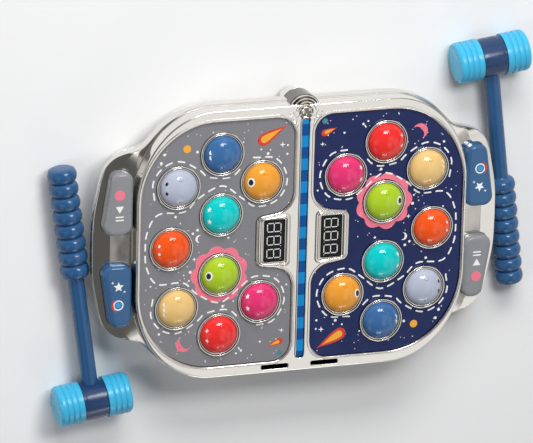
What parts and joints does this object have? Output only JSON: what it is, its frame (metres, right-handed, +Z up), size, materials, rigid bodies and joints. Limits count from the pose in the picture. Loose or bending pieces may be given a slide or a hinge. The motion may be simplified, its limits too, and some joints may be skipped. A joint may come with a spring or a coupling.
{
  "type": "mole pounding game",
  "caption": "Tabletop two-player electronic mole pounding game: a raised console with lit push-down domes, score displays, end buttons and a mallet for each player.",
  "frame": {"origin": "on the table under the middle of the console, which is also the middle of the whole set's plan", "axes": "+Z up, +X along the console's long axis towards the navy player's end, +Y towards the side with the stepped boss"},
  "size_m": [0.5322, 0.3964, 0.0685],
  "materials": {
    "silver": "mirror-bright metallised plastic",
    "lower_silver": "satin silver plastic",
    "grey_panel": "printed satin sheet",
    "navy_panel": "printed satin sheet",
    "display_black": "gloss, smoked",
    "bar_blue": "gloss, translucent",
    "button_grey": "gloss",
    "button_blue": "gloss",
    "mallet_blue": "gloss",
    "cap_cyan": "soft gloss",
    "dark_teal": "satin",
    "rubber": "matte",
    "mat_rubber": "matte silicone",
    "board_green": "solder mask",
    "steel": "plated",
    "cell": "gloss wrap",
    "cone_black": "matte",
    "mole_amber": "gloss, slightly translucent",
    "mole_pink": "gloss, slightly translucent",
    "mole_blue": "gloss, slightly translucent",
    "mole_teal": "gloss, slightly translucent",
    "mole_lime": "gloss, slightly translucent",
    "mole_red": "gloss, slightly translucent",
    "mole_grey": "gloss, slightly translucent",
    "mole_orange": "gloss, slightly translucent",
    "mole_beige": "gloss, slightly translucent"
  },
  "bodies": {
    "console": {"upper_case": "silver", "lower_case": "lower_silver", "play_panel_left": "grey_panel", "play_panel_right": "navy_panel", "light_bar": "bar_blue", "light_strip_board": "board_green", "mole_board_left": "board_green", "mole_board_right": "board_green", "button_board_left": "board_green", "button_board_right": "board_green", "display_window_left": "display_black", "display_window_right": "display_black", "display_module_left": "dark_teal", "display_module_right": "dark_teal", "switch_plate": "dark_teal", "mole_mat_left": "mat_rubber", "mole_mat_right": "mat_rubber", "battery_1": "cell", "battery_2": "cell", "battery_3": "cell", "battery_contact_left": "steel", "battery_contact_right": "steel", "speaker": "cone_black", "foot_left_near": "rubber", "foot_left_far": "rubber", "foot_right_near": "rubber", "foot_right_far": "rubber"},
    "mole_amber_left": {"mole_amber_left": "mole_amber"},
    "mole_pink_left": {"mole_pink_left": "mole_pink"},
    "mole_blue_left": {"mole_blue_left": "mole_blue"},
    "mole_teal_left": {"mole_teal_left": "mole_teal"},
    "mole_lime_left": {"mole_lime_left": "mole_lime"},
    "mole_red_left": {"mole_red_left": "mole_red"},
    "mole_grey_left": {"mole_grey_left": "mole_grey"},
    "mole_orange_left": {"mole_orange_left": "mole_orange"},
    "mole_beige_left": {"mole_beige_left": "mole_beige"},
    "mole_amber_right": {"mole_amber_right": "mole_amber"},
    "mole_pink_right": {"mole_pink_right": "mole_pink"},
    "mole_blue_right": {"mole_blue_right": "mole_blue"},
    "mole_teal_right": {"mole_teal_right": "mole_teal"},
    "mole_lime_right": {"mole_lime_right": "mole_lime"},
    "mole_red_right": {"mole_red_right": "mole_red"},
    "mole_grey_right": {"mole_grey_right": "mole_grey"},
    "mole_orange_right": {"mole_orange_right": "mole_orange"},
    "mole_beige_right": {"mole_beige_right": "mole_beige"},
    "button_grey_left": {"button_grey_left": "button_grey"},
    "button_blue_left": {"button_blue_left": "button_blue"},
    "button_grey_right": {"button_grey_right": "button_grey"},
    "button_blue_right": {"button_blue_right": "button_blue"},
    "coin_drawer": {"coin_drawer": "dark_teal"},
    "switch_knob": {"switch_knob": "dark_teal"},
    "battery_door": {"battery_door": "lower_silver", "battery_door_screw": "steel"},
    "mallet_left": {"mallet_handle_left": "mallet_blue", "mallet_cap_a_left": "cap_cyan", "mallet_cap_b_left": "cap_cyan"},
    "mallet_right": {"mallet_handle_right": "mallet_blue", "mallet_cap_a_right": "cap_cyan", "mallet_cap_b_right": "cap_cyan"}
  },
  "joints": [
    {"name": "mole_amber_left_press", "type": "slide", "parent": "console", "child": "mole_amber_left", "axis": [0, 0, -1], "range_m": [0, 0.0035], "stiffness_N_per_m": 900, "springref_m": -0.002},
    {"name": "mole_pink_left_press", "type": "slide", "parent": "console", "child": "mole_pink_left", "axis": [0, 0, -1], "range_m": [0, 0.0035], "stiffness_N_per_m": 900, "springref_m": -0.002},
    {"name": "mole_blue_left_press", "type": "slide", "parent": "console", "child": "mole_blue_left", "axis": [0, 0, -1], "range_m": [0, 0.0035], "stiffness_N_per_m": 900, "springref_m": -0.002},
    {"name": "mole_teal_left_press", "type": "slide", "parent": "console", "child": "mole_teal_left", "axis": [0, 0, -1], "range_m": [0, 0.0035], "stiffness_N_per_m": 900, "springref_m": -0.002},
    {"name": "mole_lime_left_press", "type": "slide", "parent": "console", "child": "mole_lime_left", "axis": [0, 0, -1], "range_m": [0, 0.0035], "stiffness_N_per_m": 900, "springref_m": -0.002},
    {"name": "mole_red_left_press", "type": "slide", "parent": "console", "child": "mole_red_left", "axis": [0, 0, -1], "range_m": [0, 0.0035], "stiffness_N_per_m": 900, "springref_m": -0.002},
    {"name": "mole_grey_left_press", "type": "slide", "parent": "console", "child": "mole_grey_left", "axis": [0, 0, -1], "range_m": [0, 0.0035], "stiffness_N_per_m": 900, "springref_m": -0.002},
    {"name": "mole_orange_left_press", "type": "slide", "parent": "console", "child": "mole_orange_left", "axis": [0, 0, -1], "range_m": [0, 0.0035], "stiffness_N_per_m": 900, "springref_m": -0.002},
    {"name": "mole_beige_left_press", "type": "slide", "parent": "console", "child": "mole_beige_left", "axis": [0, 0, -1], "range_m": [0, 0.0035], "stiffness_N_per_m": 900, "springref_m": -0.002},
    {"name": "mole_amber_right_press", "type": "slide", "parent": "console", "child": "mole_amber_right", "axis": [0, 0, -1], "range_m": [0, 0.0035], "stiffness_N_per_m": 900, "springref_m": -0.002},
    {"name": "mole_pink_right_press", "type": "slide", "parent": "console", "child": "mole_pink_right", "axis": [0, 0, -1], "range_m": [0, 0.0035], "stiffness_N_per_m": 900, "springref_m": -0.002},
    {"name": "mole_blue_right_press", "type": "slide", "parent": "console", "child": "mole_blue_right", "axis": [0, 0, -1], "range_m": [0, 0.0035], "stiffness_N_per_m": 900, "springref_m": -0.002},
    {"name": "mole_teal_right_press", "type": "slide", "parent": "console", "child": "mole_teal_right", "axis": [0, 0, -1], "range_m": [0, 0.0035], "stiffness_N_per_m": 900, "springref_m": -0.002},
    {"name": "mole_lime_right_press", "type": "slide", "parent": "console", "child": "mole_lime_right", "axis": [0, 0, -1], "range_m": [0, 0.0035], "stiffness_N_per_m": 900, "springref_m": -0.002},
    {"name": "mole_red_right_press", "type": "slide", "parent": "console", "child": "mole_red_right", "axis": [0, 0, -1], "range_m": [0, 0.0035], "stiffness_N_per_m": 900, "springref_m": -0.002},
    {"name": "mole_grey_right_press", "type": "slide", "parent": "console", "child": "mole_grey_right", "axis": [0, 0, -1], "range_m": [0, 0.0035], "stiffness_N_per_m": 900, "springref_m": -0.002},
    {"name": "mole_orange_right_press", "type": "slide", "parent": "console", "child": "mole_orange_right", "axis": [0, 0, -1], "range_m": [0, 0.0035], "stiffness_N_per_m": 900, "springref_m": -0.002},
    {"name": "mole_beige_right_press", "type": "slide", "parent": "console", "child": "mole_beige_right", "axis": [0, 0, -1], "range_m": [0, 0.0035], "stiffness_N_per_m": 900, "springref_m": -0.002},
    {"name": "button_grey_left_press", "type": "slide", "parent": "console", "child": "button_grey_left", "axis": [0, 0, -1], "range_m": [0, 0.003], "stiffness_N_per_m": 900, "springref_m": -0.002},
    {"name": "button_blue_left_press", "type": "slide", "parent": "console", "child": "button_blue_left", "axis": [0, 0, -1], "range_m": [0, 0.003], "stiffness_N_per_m": 900, "springref_m": -0.002},
    {"name": "button_grey_right_press", "type": "slide", "parent": "console", "child": "button_grey_right", "axis": [0, 0, -1], "range_m": [0, 0.003], "stiffness_N_per_m": 900, "springref_m": -0.002},
    {"name": "button_blue_right_press", "type": "slide", "parent": "console", "child": "button_blue_right", "axis": [0, 0, -1], "range_m": [0, 0.003], "stiffness_N_per_m": 900, "springref_m": -0.002},
    {"name": "coin_drawer_slide", "type": "slide", "parent": "console", "child": "coin_drawer", "axis": [0, -1, 0], "range_m": [0, 0.045]},
    {"name": "switch_knob_slide", "type": "slide", "parent": "console", "child": "switch_knob", "axis": [1, 0, 0], "range_m": [-0.004, 0.004]},
    {"name": "battery_door_lift_off", "type": "slide", "parent": "console", "child": "battery_door", "axis": [0, 0, -1], "range_m": [0, 0.03]},
    {"name": "mallet_left_lift_off", "type": "slide", "parent": "console", "child": "mallet_left", "axis": [-0.5, 0, 0.866], "range_m": [0, 0.1]},
    {"name": "mallet_right_lift_off", "type": "slide", "parent": "console", "child": "mallet_right", "axis": [0.5, 0, 0.866], "range_m": [0, 0.1]}
  ]
}
